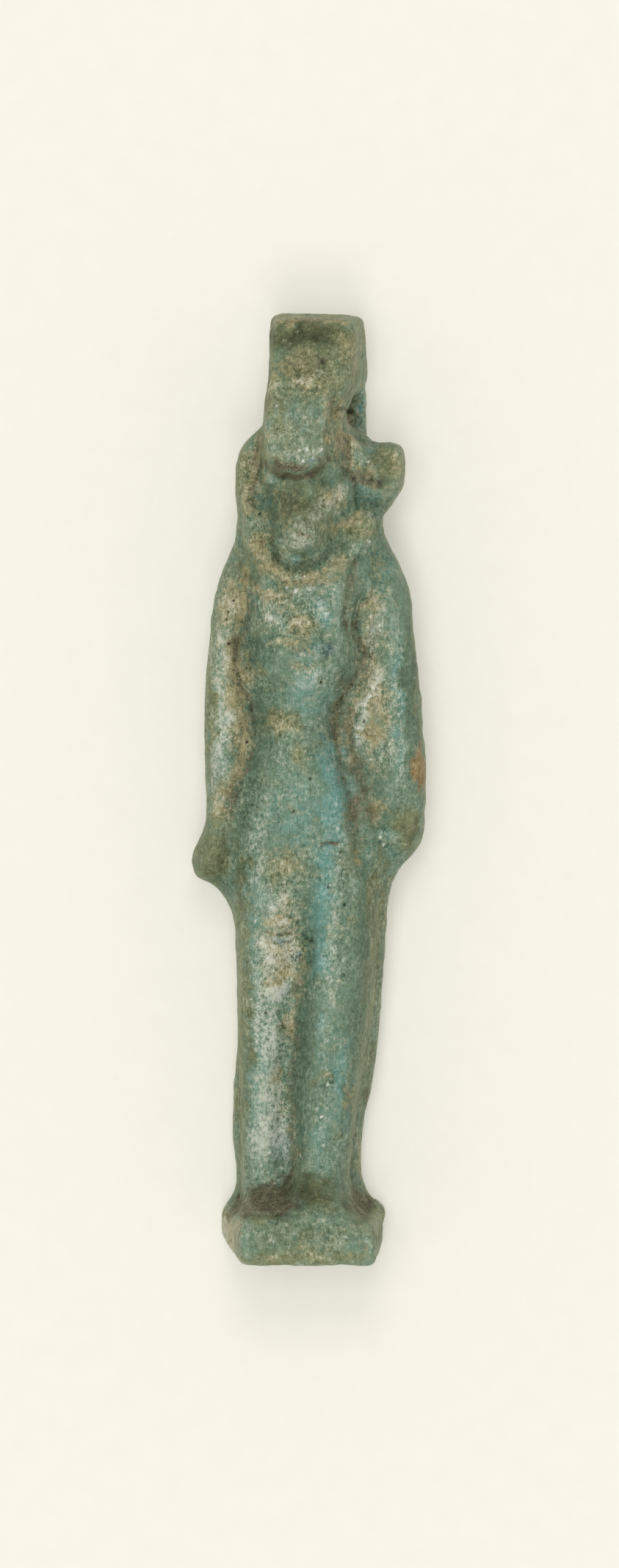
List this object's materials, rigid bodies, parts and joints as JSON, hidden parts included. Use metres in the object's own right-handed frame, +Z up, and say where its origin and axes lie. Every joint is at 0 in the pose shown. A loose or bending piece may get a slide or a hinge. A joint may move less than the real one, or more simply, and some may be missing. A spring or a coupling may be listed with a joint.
{
  "type": "lion-headed goddess amulet",
  "caption": "Slim moulded faience amulet of a standing goddess with a lioness's head, on a plinth, with a back pillar and a pierced cord loop behind the headdress.",
  "frame": {"origin": "under the middle of the amulet's bounding box, on the surface it lies on", "axes": "the amulet lies on its back: +Z up, out of its face; +Y from the plinth towards the headdress; +X towards the figure's left arm"},
  "size_m": [0.0104, 0.042, 0.0098],
  "materials": {
    "faience": "worn blue-green glaze, dulled and stained by burial"
  },
  "bodies": {
    "root": {"lion_headed_goddess_amulet": "faience"}
  },
  "joints": []
}
